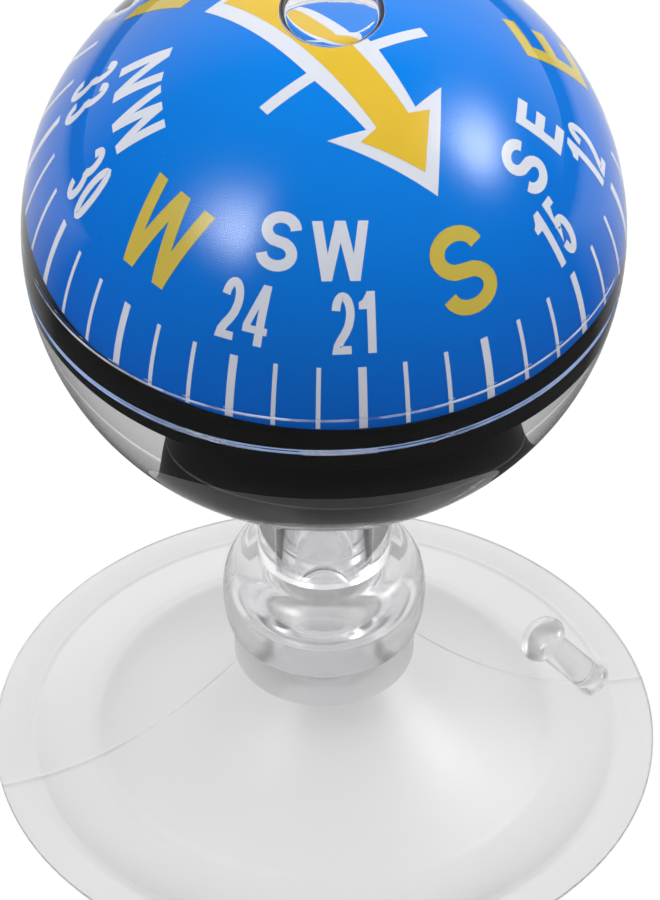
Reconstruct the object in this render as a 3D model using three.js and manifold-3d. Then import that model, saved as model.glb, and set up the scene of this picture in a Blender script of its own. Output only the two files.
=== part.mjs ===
// A ball compass for a dashboard: a clear, liquid-filled ball with a domed dial floating in it,
// turning on a peg in a clear suction cup. Millimetres, +Z up. The cup's axis is the Z axis and
// its sealing land lies on z = 0. The side seen in the reference view faces -Y.
import * as THREE from 'three';
import { mergeVertices } from 'three/addons/utils/BufferGeometryUtils.js';
import Module from 'manifold-3d';

const wasm = await Module();
wasm.setup();

// Facets: round a large or a small circle, and along a large or a small arc
const largeSegments = 48;
const smallSegments = 24;
const arcSteps = 10;
const smallArcSteps = 5;

// One overrun serves every cut
const overrun = 1;

// Suction cup: a bell-shaped skirt with a flat sealing land, a hub and a bulged collar
const cupRadius = 22.8;
const rimThickness = 0.35;
const rimRound = 0.12;
const landWidth = 7;
const hollowHeight = 5.2;
const hubRadius = 6.15;
const hubBaseHeight = 8.6;
const bellShare = 2.1;
const notchHeight = 11.3;
const collarRadius = 6.9;
const collarHeight = 14.3;
const hubTopRadius = 5.2;
const hubHeight = 17.5;

// Pull knob on the skirt: a leaning stalk with a mushroom head, in the mould's parting plane
const knobAzimuthDegrees = 13.7;
const knobLeanDegrees = 38;
const knobInset = 3.6;
const knobLength = 6.9;
const knobStalkRadius = 1.05;
const knobHeadRadius = 1.7;
const knobHeadHeight = 1.6;
const knobRootDepth = 1.6;

// Mounting peg: a tip and a snap bead in the cup's socket, a spindle in the ball's neck
const pegBottom = 7;
const pegTipRadius = 2.9;
const pegTipLength = 3;
const beadRadius = 4;
const beadLength = 3.6;
const beadChamfer = 0.7;
const spindleRadius = 3.25;
const spindleChamfer = 0.3;
const coreRadius = 2.1;
const coreFloorRise = 1;
const socketClearance = 0.1;
const spindleClearance = 0.06;
const thrustGap = 0.3;

// Ball: two clear shells with a lap joint a little below the middle, and a neck below
const ballRadius = 20;
const shellWall = 1.5;
const seamDrop = 2;
const seamChamfer = 0.25;
const lapHeight = 2.3;
const lapClearance = 0.05;
const neckGap = 0.3;
const neckLength = 8.4;
const neckRadius = 4.6;
const neckFillet = 0.9;
const neckEdge = 0.2;
const padRadius = 4.2;
const floorThickness = 1.8;

// Filler plug: a rubber stopper in the floor of the bowl, beside the post
const fillerRadius = 0.8;
const fillerDistance = 2;
const plugClearance = 0.05;
const plugHeadRadius = 1.2;
const plugHeadHeight = 0.8;

// Float: where it has come to rest in the ball, and which way its north points
const driftX = 0.76;
const driftY = 0.32;
const northDegrees = 36.2;
const tiltDegrees = 8;

// Pivot: a post on the floor of the bowl, with a pin whose point is the centre of every tilt
const postRadiusShare = 0.055;
const postFootRadius = 1.7;
const postFootHeight = 1;
const postTopDepth = 4;
const pinRadius = 0.45;
const pinSocketDepth = 3;
const pinPointLength = 1.55;
const pinPointRadius = 0.06;
const pinClearance = 0.05;

// Bearing: a domed cap that stands on the pin's point, in a holder
const capRadius = 1.1;
const capSkirtDepth = 0.45;
const capDimpleRadius = 0.5;
const pointGap = 0.1;
const holderClearance = 0.1;
const holderRadius = 1.75;
const holderSkirtDepth = 1.2;
const holderTopHeight = 1.5;

// Dial dome: as wide as lets the float turn and tilt clear of the shell
const dialWall = 1;
const dialDropShare = 0.165;
const shellClearance = 0.52;

// Float plate: the rim that the dial stands on, and the tower for the bearing holder
const towerRadius = 2.7;
const towerRoof = 1;
const towerEdge = 0.4;
const fitClearance = 0.06;
const plateTopDrop = 0.3;
const plateThickness = 1.2;
const lipHeight = 0.8;
const lipThickness = 0.9;
const lipTaper = 0.1;
const bandStep = 0.12;
const bandBulge = 0.8;
const bandHeightShare = 0.095;
const bandEdge = 0.2;
const bandInset = 1.2;

// Float drum and its rounded cover, with the magnets and the ballast inside
const drumRadiusShare = 0.375;
const drumHeightShare = 0.365;
const drumTaper = 0.2;
const drumWallShare = 0.1;
const drumRoof = 1;
const sleeveWallShare = 0.075;
const sleeveClearance = 0.3;
const partGap = 0.06;
const magnetWidthShare = 0.24;
const magnetLengthShare = 0.62;
const magnetHeightShare = 0.26;
const magnetGap = 0.15;
const ballastHeightShare = 0.54;
const ballastGapShare = 0.03;
const coverHeightShare = 0.14;
const coverRoundShare = 0.26;
const coverSideShare = 0.15;

// Sizes that follow from the ones above
const knobDistance = cupRadius - knobInset;
const innerRadius = ballRadius - shellWall;
const lapTop = lapHeight - seamDrop;
const seamRadius = Math.sqrt(ballRadius ** 2 - seamDrop ** 2);
const seamInnerRadius = Math.sqrt(innerRadius ** 2 - seamDrop ** 2);
const lapRadius = (seamRadius + seamInnerRadius) / 2;
const neckBottom = -(ballRadius + neckLength);
const floorLevel = -Math.sqrt(innerRadius ** 2 - padRadius ** 2);
const ceilingLevel = floorLevel - floorThickness;
const boreRadius = spindleRadius + spindleClearance;
const ballHeight = hubHeight + neckGap - neckBottom;
const beadBottom = pegBottom + pegTipLength;
const beadTop = beadBottom + beadLength;
const spindleTop = ballHeight + ceilingLevel - plugHeadHeight - plugClearance - thrustGap;
const driftLength = Math.hypot(driftX, driftY);
const dialDrop = ballRadius * dialDropShare;
const bandHeight = ballRadius * bandHeightShare;
const bandRadius = Math.sqrt(
  (innerRadius - driftLength - shellClearance) ** 2 - (dialDrop + bandHeight) ** 2,
);
const dialRadius = bandRadius - bandBulge - bandStep;
const postRadius = ballRadius * postRadiusShare;
const tiltSlope = Math.tan(THREE.MathUtils.degToRad(tiltDegrees * Math.SQRT2));
const seatLevel = -dialDrop;
const plateTop = seatLevel - plateTopDrop;
const plateBottom = plateTop - plateThickness;
const towerTop = holderTopHeight + partGap + towerRoof;
const drumRadius = ballRadius * drumRadiusShare;
const drumHeight = ballRadius * drumHeightShare;
const drumWall = drumRadius * drumWallShare;
const sleeveWall = drumRadius * sleeveWallShare;
const drumInnerRadius = drumRadius - drumTaper - drumWall;
const drumTop = plateBottom - partGap;
const drumBottom = drumTop - drumHeight;
const coverTop = drumBottom - partGap;
const coverHeight = ballRadius * coverHeightShare;
const coverSide = coverHeight * coverSideShare;
const coverRound = drumRadius * coverRoundShare;
const coverBottom = coverTop - coverHeight;
const magnetWidth = drumRadius * magnetWidthShare;
const magnetLength = drumRadius * magnetLengthShare;
const magnetHeight = drumHeight * magnetHeightShare;
const magnetTop = drumTop - drumRoof - magnetGap;
const magnetReach = Math.sqrt((drumInnerRadius - magnetGap) ** 2 - (magnetLength / 2) ** 2);
const ballastTop = magnetTop - magnetHeight - magnetGap;
const ballastThickness = drumHeight * ballastHeightShare;
const ballastWallGap = drumRadius * ballastGapShare;

// Half width, at a depth below the pin's point, that leaves the post free when the float tilts
const freeRadius = (depth) => postRadius + depth * tiltSlope + sleeveClearance;

// Outline points [radius, height]
function ellipseArc(centre, radii, fromDegrees, toDegrees, steps) {
  const points = [];
  for (let i = 0; i <= steps; i += 1) {
    const angle = THREE.MathUtils.degToRad(fromDegrees + ((toDegrees - fromDegrees) * i) / steps);
    points.push([centre[0] + radii[0] * Math.cos(angle), centre[1] + radii[1] * Math.sin(angle)]);
  }
  return points;
}

// An arc of a sphere round the axis, from one height to another as seen from its centre
function sphereArc(radius, fromLevel, toLevel, steps, centreLevel = 0) {
  const degreesAt = (level) => THREE.MathUtils.radToDeg(Math.asin(level / radius));
  return ellipseArc([0, centreLevel], [radius, radius], degreesAt(fromLevel), degreesAt(toLevel), steps);
}

// A curve from start to end that leaves and arrives along the sides of the corner between them
function roundedCorner(start, corner, end, steps) {
  const curve = new THREE.QuadraticBezierCurve(
    new THREE.Vector2(...start),
    new THREE.Vector2(...corner),
    new THREE.Vector2(...end),
  );
  return curve.getPoints(steps).map((point) => [point.x, point.y]);
}

// Shared vertices, no collapsed triangles and faces pointing out
function closedBody(geometry) {
  const bare = geometry.clone();
  bare.deleteAttribute('normal');
  bare.deleteAttribute('uv');
  const merged = mergeVertices(bare);
  const corners = merged.index.array;
  const kept = [];
  for (let i = 0; i < corners.length; i += 3) {
    const [a, b, c] = [corners[i], corners[i + 1], corners[i + 2]];
    if (a !== b && b !== c && c !== a) {
      kept.push(a, b, c);
    }
  }
  merged.setIndex(kept);
  return signedVolume(merged) < 0 ? turnedInsideOut(merged) : merged;
}

function signedVolume(geometry) {
  const places = geometry.attributes.position;
  const corners = geometry.index.array;
  const point = (i) => new THREE.Vector3().fromBufferAttribute(places, corners[i]);
  let volume = 0;
  for (let i = 0; i < corners.length; i += 3) {
    volume += point(i).dot(point(i + 1).cross(point(i + 2)));
  }
  return volume / 6;
}

function turnedInsideOut(geometry) {
  const corners = geometry.index.array;
  const turned = [];
  for (let i = 0; i < corners.length; i += 3) {
    turned.push(corners[i], corners[i + 2], corners[i + 1]);
  }
  geometry.setIndex(turned);
  return geometry;
}

// A revolved body: the outline starts and ends on the axis, or closes on itself when ring is true
function revolved(outline, segments, ring = false) {
  const points = ring ? [...outline, outline[0]] : outline;
  const vectors = points.map(([radius, height]) => new THREE.Vector2(radius, height));
  const geometry = new THREE.LatheGeometry(vectors, segments);
  geometry.rotateX(Math.PI / 2);
  return closedBody(geometry);
}

function toSolid(geometry) {
  const body = closedBody(geometry);
  const mesh = new wasm.Mesh({
    numProp: 3,
    vertProperties: new Float32Array(body.attributes.position.array),
    triVerts: new Uint32Array(body.index.array),
  });
  return new wasm.Manifold(mesh);
}

function fromSolid(solid) {
  const mesh = solid.getMesh();
  const geometry = new THREE.BufferGeometry();
  geometry.setAttribute('position', new THREE.BufferAttribute(new Float32Array(mesh.vertProperties), 3));
  geometry.setIndex([...mesh.triVerts]);
  return geometry;
}

function cylinder(radius, bottom, top, segments) {
  return revolved([[0, bottom], [radius, bottom], [radius, top], [0, top]], segments);
}

// The outside of the peg as far as its spindle, grown by a clearance where it shapes the socket
function pegOutline(clearance) {
  return [
    [0, pegBottom - clearance],
    [pegTipRadius + clearance, pegBottom - clearance],
    [pegTipRadius + clearance, beadBottom - clearance],
    [beadRadius + clearance, beadBottom + beadChamfer - clearance],
    [beadRadius + clearance, beadTop - beadChamfer + clearance],
    [spindleRadius + clearance, beadTop + clearance],
  ];
}

// The concave underside of the skirt, from the middle out to the sealing land
function hollowOutline() {
  const landRadius = cupRadius - landWidth;
  const points = [];
  for (let i = 0; i <= smallArcSteps; i += 1) {
    const share = i / smallArcSteps;
    points.push([landRadius * share, hollowHeight * (1 - share ** 2)]);
  }
  return points;
}

// The bell-shaped top of the skirt, from the rim in to the hub
function bellHeight(radius) {
  const share = (cupRadius - radius) / (cupRadius - hubRadius);
  return rimThickness + (hubBaseHeight - rimThickness) * share ** bellShare;
}

function bellOutline() {
  const points = [];
  for (let i = 0; i <= arcSteps; i += 1) {
    const radius = cupRadius - ((cupRadius - hubRadius) * i) / arcSteps;
    points.push([radius, bellHeight(radius)]);
  }
  return points;
}

function collarOutline() {
  const below = [collarRadius - hubRadius, collarHeight - notchHeight];
  const above = [collarRadius - hubTopRadius, hubHeight - collarHeight];
  return [
    ...ellipseArc([hubRadius, collarHeight], below, -90, 0, smallArcSteps),
    ...ellipseArc([hubTopRadius, collarHeight], above, 0, 90, smallArcSteps).slice(1),
  ];
}

// The pull knob, standing on its own axis with its root in the skirt
function pullKnob() {
  const neckLevel = knobLength - knobHeadHeight;
  const knob = revolved([
    [0, -knobRootDepth],
    [knobStalkRadius, -knobRootDepth],
    [knobStalkRadius, neckLevel],
    [knobHeadRadius, neckLevel],
    ...ellipseArc([0, neckLevel], [knobHeadRadius, knobHeadHeight], 0, 90, smallArcSteps).slice(1),
  ], smallSegments);
  knob.rotateY(-THREE.MathUtils.degToRad(knobLeanDegrees));
  knob.translate(knobDistance, 0, bellHeight(knobDistance));
  knob.rotateZ(THREE.MathUtils.degToRad(knobAzimuthDegrees));
  return knob;
}

function suctionCup() {
  const skirt = revolved([
    ...hollowOutline(),
    [cupRadius - rimRound, 0],
    [cupRadius, rimRound],
    ...bellOutline(),
    ...collarOutline(),
    [spindleRadius + socketClearance, hubHeight],
    ...pegOutline(socketClearance).reverse(),
  ], largeSegments);
  const below = new THREE.BoxGeometry(cupRadius * 2, cupRadius * 2, ballRadius);
  below.translate(0, 0, rimRound - ballRadius / 2);
  const knob = toSolid(pullKnob()).subtract(toSolid(below));
  return fromSolid(toSolid(skirt).add(knob));
}

function mountingPeg() {
  return revolved([
    ...pegOutline(0),
    [spindleRadius, spindleTop - spindleChamfer],
    [spindleRadius - spindleChamfer, spindleTop],
    [coreRadius, spindleTop],
    [coreRadius, beadTop + coreFloorRise],
    [0, beadTop + coreFloorRise],
  ], smallSegments);
}

function neckOutline() {
  const meet = -Math.sqrt(ballRadius ** 2 - neckRadius ** 2);
  const filletRadius = neckRadius + neckFillet;
  const filletEnd = [filletRadius, -Math.sqrt(ballRadius ** 2 - filletRadius ** 2)];
  return [
    [0, ceilingLevel],
    [boreRadius, ceilingLevel],
    [boreRadius, neckBottom],
    [neckRadius - neckEdge, neckBottom],
    [neckRadius, neckBottom + neckEdge],
    ...roundedCorner([neckRadius, meet - neckFillet], [neckRadius, meet], filletEnd, smallArcSteps),
  ];
}

function lowerBowl() {
  const filletRadius = neckRadius + neckFillet;
  const arcStart = -Math.sqrt(ballRadius ** 2 - filletRadius ** 2);
  const bowl = revolved([
    ...neckOutline(),
    ...sphereArc(ballRadius, arcStart, -seamDrop - seamChamfer, arcSteps).slice(1),
    [seamRadius - seamChamfer, -seamDrop],
    [lapRadius, -seamDrop],
    [lapRadius, lapTop],
    ...sphereArc(innerRadius, lapTop, floorLevel, arcSteps),
    [0, floorLevel],
  ], largeSegments);
  const hole = cylinder(fillerRadius, ceilingLevel - overrun, floorLevel + overrun, smallSegments);
  hole.translate(...fillerPlace(), 0);
  return fromSolid(toSolid(bowl).subtract(toSolid(hole)));
}

function upperDome() {
  const skirtRadius = lapRadius + lapClearance;
  const skirtTop = lapTop + lapClearance;
  return revolved([
    ...sphereArc(ballRadius, ballRadius, -seamDrop + seamChamfer, arcSteps),
    [seamRadius - seamChamfer, -seamDrop],
    [skirtRadius, -seamDrop],
    [skirtRadius, skirtTop],
    ...sphereArc(innerRadius, skirtTop, innerRadius, arcSteps),
  ], largeSegments);
}

// The filler hole lies on the far side of the axis from the post
function fillerPlace() {
  return [(-driftX / driftLength) * fillerDistance, (-driftY / driftLength) * fillerDistance];
}

function fillerPlug() {
  const stem = fillerRadius - plugClearance;
  const headTop = ceilingLevel - plugClearance;
  return revolved([
    [0, headTop - plugHeadHeight],
    [plugHeadRadius, headTop - plugHeadHeight],
    [plugHeadRadius, headTop],
    [stem, headTop],
    [stem, floorLevel],
    [0, floorLevel],
  ], smallSegments);
}

function pivotPost() {
  const hole = pinRadius + pinClearance;
  const foot = floorLevel + pinClearance;
  return revolved([
    [0, foot],
    [postFootRadius, foot],
    [postFootRadius, foot + postFootHeight],
    [postRadius, foot + postFootHeight],
    [postRadius, -postTopDepth],
    [hole, -postTopDepth],
    [hole, -postTopDepth - pinSocketDepth],
    [0, -postTopDepth - pinSocketDepth],
  ], smallSegments);
}

function pivotPin() {
  const foot = -postTopDepth - pinSocketDepth + pinClearance;
  return revolved([
    [0, foot],
    [pinRadius, foot],
    [pinRadius, -pinPointLength],
    [pinPointRadius, 0],
    [0, 0],
  ], smallSegments);
}

function bearingCap() {
  return revolved([
    [0, pointGap],
    [capDimpleRadius, -capSkirtDepth],
    ...sphereArc(capRadius, -capSkirtDepth, capRadius, smallArcSteps),
  ], smallSegments);
}

function bearingHolder() {
  const recess = capRadius + holderClearance;
  const mouthLevel = -capSkirtDepth - holderClearance;
  return revolved([
    ...sphereArc(recess, recess, mouthLevel, smallArcSteps),
    [(recess + holderRadius) / 2, -holderSkirtDepth],
    [holderRadius, -holderSkirtDepth],
    [holderRadius, holderTopHeight],
    [0, holderTopHeight],
  ], smallSegments);
}

function dialDome() {
  const inside = dialRadius - dialWall;
  return revolved([
    ...sphereArc(dialRadius, dialRadius, 0, arcSteps, seatLevel),
    ...sphereArc(inside, 0, inside, arcSteps, seatLevel),
  ], largeSegments);
}

// The rim of the plate: a ledge for the dial, a bulged black band and a flat lower edge
function bandOutline() {
  const ledgeRadius = dialRadius + bandStep;
  const bandBottom = seatLevel - bandHeight;
  return [
    [ledgeRadius, seatLevel],
    ...ellipseArc([ledgeRadius, bandBottom], [bandBulge, bandHeight], 90, 0, smallArcSteps).slice(1),
    [bandRadius - bandEdge, bandBottom - bandEdge],
    [ledgeRadius - bandInset, bandBottom - bandEdge],
    [ledgeRadius - bandInset, plateBottom],
  ];
}

function floatPlate() {
  const lipOuter = dialRadius - dialWall - fitClearance;
  const bore = holderRadius + fitClearance;
  const boreDepth = holderSkirtDepth + fitClearance;
  return revolved([
    [0, towerTop],
    [towerRadius - towerEdge, towerTop],
    [towerRadius, towerTop - towerEdge],
    [freeRadius(-plateTop) + sleeveWall, plateTop],
    [lipOuter - lipThickness, plateTop],
    [lipOuter - lipThickness, seatLevel + lipHeight],
    [lipOuter - lipTaper, seatLevel + lipHeight],
    [lipOuter, seatLevel],
    ...bandOutline(),
    [freeRadius(-plateBottom), plateBottom],
    [bore, -boreDepth],
    [bore, holderTopHeight + partGap],
    [0, holderTopHeight + partGap],
  ], largeSegments);
}

function floatDrum() {
  const foot = drumRadius - drumTaper;
  const roof = drumTop - drumRoof;
  return revolved([
    [drumRadius, drumTop],
    [foot, drumBottom],
    [foot - drumWall, drumBottom],
    [drumRadius - drumWall, roof],
    [freeRadius(-roof) + sleeveWall, roof],
    [freeRadius(-drumBottom) + sleeveWall, drumBottom],
    [freeRadius(-drumBottom), drumBottom],
    [freeRadius(-drumTop), drumTop],
  ], largeSegments, true);
}

function drumCover() {
  const edge = drumRadius - drumTaper;
  const roundCentre = [edge - coverRound, coverTop - coverSide];
  return revolved([
    [edge, coverTop],
    ...ellipseArc(roundCentre, [coverRound, coverHeight - coverSide], 0, -90, smallArcSteps),
    [freeRadius(-coverBottom), coverBottom],
    [freeRadius(-coverTop), coverTop],
  ], largeSegments, true);
}

function ballastRing() {
  const outer = drumInnerRadius - ballastWallGap;
  const inner = freeRadius(-drumBottom) + sleeveWall + ballastWallGap;
  return revolved([
    [outer, ballastTop],
    [outer, ballastTop - ballastThickness],
    [inner, ballastTop - ballastThickness],
    [inner, ballastTop],
  ], largeSegments, true);
}

function barMagnet(side) {
  const bar = new THREE.BoxGeometry(magnetWidth, magnetLength, magnetHeight);
  bar.translate(side * (magnetReach - magnetWidth / 2), 0, magnetTop - magnetHeight / 2);
  return closedBody(bar);
}

// Finishes
const clearVinyl = new THREE.MeshStandardMaterial({
  color: 0xdcdcdc, roughness: 0.15, metalness: 0, transparent: true, opacity: 0.35,
});
const clearAcrylic = new THREE.MeshStandardMaterial({
  color: 0xf4f6f8, roughness: 0.04, metalness: 0, transparent: true, opacity: 0.25,
});
const blueEnamel = new THREE.MeshStandardMaterial({ color: 0x0a74dc, roughness: 0.3, metalness: 0 });
const blackPlastic = new THREE.MeshStandardMaterial({ color: 0x1e1e1e, roughness: 0.4, metalness: 0 });
const whitePlastic = new THREE.MeshStandardMaterial({ color: 0xe6e6e2, roughness: 0.4, metalness: 0 });
const blackRubber = new THREE.MeshStandardMaterial({ color: 0x2a2a2a, roughness: 0.8, metalness: 0 });
const groundSteel = new THREE.MeshStandardMaterial({ color: 0xb8bcc0, roughness: 0.25, metalness: 1 });
const turnedBrass = new THREE.MeshStandardMaterial({ color: 0xc8a050, roughness: 0.35, metalness: 1 });
const glassJewel = new THREE.MeshStandardMaterial({ color: 0xb02840, roughness: 0.1, metalness: 0 });
const magnetSteel = new THREE.MeshStandardMaterial({ color: 0x6c7076, roughness: 0.4, metalness: 1 });

function named(name, geometry, material) {
  const mesh = new THREE.Mesh(geometry, material);
  mesh.name = name;
  return mesh;
}

// The ball and everything fixed in it
const ball = new THREE.Group();
ball.position.z = ballHeight;
ball.add(named('lower_bowl', lowerBowl(), clearAcrylic));
ball.add(named('upper_dome', upperDome(), clearAcrylic));
const plug = named('filler_plug', fillerPlug(), blackRubber);
plug.position.set(...fillerPlace(), 0);
ball.add(plug);

// The pivot and the float share an axis beside the ball's own
const pivot = new THREE.Group();
pivot.position.set(driftX, driftY, 0);
pivot.add(named('pivot_post', pivotPost(), whitePlastic));
pivot.add(named('pivot_pin', pivotPin(), groundSteel));
pivot.add(named('bearing_cap', bearingCap(), glassJewel));
pivot.add(named('bearing_holder', bearingHolder(), turnedBrass));
ball.add(pivot);

const float = new THREE.Group();
float.rotation.z = THREE.MathUtils.degToRad(northDegrees);
float.add(named('dial_dome', dialDome(), blueEnamel));
float.add(named('float_plate', floatPlate(), blackPlastic));
float.add(named('float_drum', floatDrum(), blackPlastic));
float.add(named('drum_cover', drumCover(), blackPlastic));
float.add(named('ballast_ring', ballastRing(), turnedBrass));
float.add(named('bar_magnet_east', barMagnet(1), magnetSteel));
float.add(named('bar_magnet_west', barMagnet(-1), magnetSteel));
pivot.add(float);

const compass = new THREE.Group();
compass.add(named('suction_cup', suctionCup(), clearVinyl));
compass.add(named('mounting_peg', mountingPeg(), clearAcrylic));
compass.add(ball);

export default compass;
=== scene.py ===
"""Dresses the frame of a dashboard ball compass: the clear ball with its float and printed dial,
the peg and the suction cup, with the studio it stands in. Lengths in the code are millimetres."""

import math

import bmesh
import bpy
from bpy.props import FloatProperty, PointerProperty, StringProperty
from bpy.types import Operator, Panel, PropertyGroup
from mathutils import Matrix, Vector


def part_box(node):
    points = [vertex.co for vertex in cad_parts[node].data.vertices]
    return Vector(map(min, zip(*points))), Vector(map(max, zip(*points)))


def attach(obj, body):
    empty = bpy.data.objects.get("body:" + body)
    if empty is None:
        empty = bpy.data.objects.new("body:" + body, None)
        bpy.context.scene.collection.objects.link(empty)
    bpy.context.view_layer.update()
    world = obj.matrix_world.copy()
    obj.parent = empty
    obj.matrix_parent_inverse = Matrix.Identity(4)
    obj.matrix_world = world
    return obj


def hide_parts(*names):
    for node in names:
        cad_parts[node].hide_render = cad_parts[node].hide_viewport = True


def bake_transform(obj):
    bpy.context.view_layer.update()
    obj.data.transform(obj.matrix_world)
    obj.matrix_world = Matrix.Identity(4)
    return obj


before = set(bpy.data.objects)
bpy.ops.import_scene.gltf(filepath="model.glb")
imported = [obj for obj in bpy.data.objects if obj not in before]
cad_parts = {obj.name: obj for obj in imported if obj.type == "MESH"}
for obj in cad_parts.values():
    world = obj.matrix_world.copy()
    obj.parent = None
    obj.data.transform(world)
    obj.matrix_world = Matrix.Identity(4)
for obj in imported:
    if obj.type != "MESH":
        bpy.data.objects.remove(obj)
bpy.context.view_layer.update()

bl_info = {
    "name": "Dashboard Ball Compass",
    "version": (1, 0, 0),
    "blender": (4, 5, 0),
    "location": "3D View > Sidebar > Compass",
    "description": "Builds a liquid-filled ball compass on a suction cup, with its studio",
    "category": "Object",
}

MM = 0.001


def box_mm(node):
    """The lowest and highest corners of a node of the frame, in millimetres."""
    low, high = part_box(node)
    return low / MM, high / MM


# Places that the frame gives
TOP = box_mm("upper_dome")[1].z
BALL_RADIUS = 20.0
BALL_HEIGHT = TOP - BALL_RADIUS
DIAL_LOW, DIAL_HIGH = box_mm("dial_dome")
DIAL_RADIUS = DIAL_HIGH.z - DIAL_LOW.z
DIAL_CENTRE = Vector(((DIAL_LOW.x + DIAL_HIGH.x) / 2, (DIAL_LOW.y + DIAL_HIGH.y) / 2, DIAL_LOW.z))
CUP_RADIUS = box_mm("suction_cup")[1].y
HUB_HEIGHT = box_mm("suction_cup")[1].z

# Columns round a turned piece as wide as the ball
ROUND = 144
# Gap between the two shells at the seam
SEAM_GAP = 0.03
# How deep the print reaches under the dial's surface
INK_ROOT = 0.05
# How strongly each stuff bends light, and an opaque one as seen from the oil
ACRYLIC, OIL, VINYL, POLYSTYRENE = 1.49, 1.34, 1.53, 1.57
WETTED = 1.04
WHITE = (1, 1, 1, 1)


# Sizes and colours that a user may change


def length(name, text, default):
    """A length in millimetres."""
    return FloatProperty(
        name=name, description=text, default=default, min=0, subtype="DISTANCE"
    )


def angle(name, text, default):
    """An angle, shown in degrees."""
    return FloatProperty(
        name=name, description=text, default=math.radians(default), subtype="ANGLE"
    )


def share(name, text, default):
    """A plain number."""
    return FloatProperty(name=name, description=text, default=default)


def hex_colour(name, text, default):
    """A colour, written as sRGB hex."""
    return StringProperty(name=name, description=text, default=default)


class CompassBallSizes(PropertyGroup):
    """The two shells of the ball, in millimetres"""

    wall: length("Wall", "Thickness of both shells", 1.5)
    seam_drop: length("Seam Drop", "How far the seam lies below the middle of the ball", 2.0)
    seam_chamfer: length("Seam Chamfer", "Bevel on both shells at the seam", 0.25)
    lap_height: length("Lap Height", "Height of the lip that the upper shell laps over", 2.3)
    lap_clearance: length("Lap Clearance", "Gap between the lip and the upper shell", 0.05)
    cement_width: length("Cement Width", "Width of the bead of cement over the lip", 0.13)
    neck_radius: length("Neck Radius", "Outside of the neck below the ball", 4.6)
    neck_length: length("Neck Length", "How far the neck reaches below the ball", 8.4)
    neck_bore: length("Neck Bore", "Inside radius of the neck", 3.31)
    floor_radius: length("Floor Radius", "Flat floor inside the lower shell", 4.2)
    floor_thickness: length("Floor Thickness", "Thickness of that floor", 1.8)
    bubble_radius: length("Bubble Radius", "Half width of the air bubble", 3.3)
    bubble_depth: length("Bubble Depth", "Height of the air bubble", 1.9)
    bubble_drift: length("Bubble Drift", "How far the bubble stands beside the top", 0.5)


class CompassDialSizes(PropertyGroup):
    """The dial and its print, in millimetres"""

    north: angle("North", "Where north points, from +Y against the clock", 35.85)
    wall: length("Wall", "Thickness of the dial", 1.0)
    tick_foot: angle("Tick Foot", "Latitude of the lower end of the ticks", 2.7)
    tick_top: angle("Tick Top", "Latitude of the upper end of the ticks", 18.1)
    thin_tick: length("Thin Tick", "Width of a ten degree tick", 0.27)
    thick_tick: length("Thick Tick", "Width of a thirty degree tick", 0.5)
    number_height: length("Number Height", "Height of the numbers", 3.75)
    number_latitude: angle("Number Latitude", "Latitude of the middle of the numbers", 28.3)
    number_stroke: length("Number Stroke", "Line width of the numbers", 0.5)
    quarter_height: length("Quarter Letter Height", "Height of N, E, S and W", 5.4)
    quarter_stroke: length("Quarter Letter Stroke", "Line width of N, E, S and W", 0.92)
    between_height: length("Between Letter Height", "Height of NE, SE, SW and NW", 3.55)
    between_stroke: length("Between Letter Stroke", "Line width of those letters", 0.66)
    ink: length("Ink", "How far the print stands above the paint", 0.03)


class CompassFloatSizes(PropertyGroup):
    """The black rim, drum and cover of the float, in millimetres"""

    tower_radius: length("Tower Radius", "Outside of the tower under the dial", 2.7)
    tower_top: length("Tower Top", "Height of the tower over the pin's point", 2.56)
    holder_bore: length("Holder Bore", "Inside radius of the tower", 1.81)
    holder_depth: length("Holder Depth", "How far that bore reaches below the pin's point", 1.26)
    holder_top: length("Holder Top", "How far it reaches above the pin's point", 1.56)
    lip_height: length("Lip Height", "Height of the lip inside the dial", 0.8)
    lip_thickness: length("Lip Thickness", "Thickness of that lip", 0.9)
    fit_gap: length("Fit Gap", "Gap between the dial and the lip", 0.06)
    band_bulge: length("Band Bulge", "How far the band stands out past its ledge", 0.8)
    ledge: length("Ledge", "How far the ledge stands out past the dial", 0.12)
    edge_height: length("Edge Height", "How far the band reaches up outside the dial", 0.66)
    plate_drop: length("Plate Drop", "How far the plate lies below the ledge", 0.3)
    plate_thickness: length("Plate Thickness", "Thickness of the plate", 1.2)
    drum_wall: length("Drum Wall", "Thickness of the drum's wall", 0.75)
    drum_roof: length("Drum Roof", "Thickness of the drum's roof", 1.0)
    drum_taper: length("Drum Taper", "How much narrower the drum is at its foot", 0.2)
    sleeve_wall: length("Sleeve Wall", "Thickness of the sleeve round the post", 0.56)
    cover_round: length("Cover Round", "Width of the cover's rounded edge", 1.95)
    cover_side: length("Cover Side", "Height of the cover's straight side", 0.42)


class CompassCupSizes(PropertyGroup):
    """The suction cup and its pull knob, in millimetres"""

    hub_radius: length("Hub Radius", "Radius of the hub under its collar", 6.15)
    hub_foot: length("Hub Foot", "Height at which the skirt leaves the hub", 8.6)
    collar_radius: length("Collar Radius", "Widest radius of the collar", 6.9)
    collar_height: length("Collar Height", "Height at which the collar is widest", 14.3)
    notch_height: length("Notch Height", "Height of the notch under the collar", 11.3)
    mouth_radius: length("Mouth Radius", "Outer radius of the flat top of the hub", 5.2)
    hollow_height: length("Hollow Height", "Height of the hollow underneath", 5.2)
    land_width: length("Land Width", "Width of the flat sealing land", 7.0)
    rim_thickness: length("Rim Thickness", "Thickness of the lip", 0.35)
    knob_angle: angle("Knob Angle", "Bearing of the pull knob and of the mould line", 13.7)
    knob_lean: angle("Knob Lean", "How far the knob leans inwards", 38.0)
    knob_distance: length("Knob Distance", "Distance of the knob's foot from the axis", 19.2)


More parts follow.
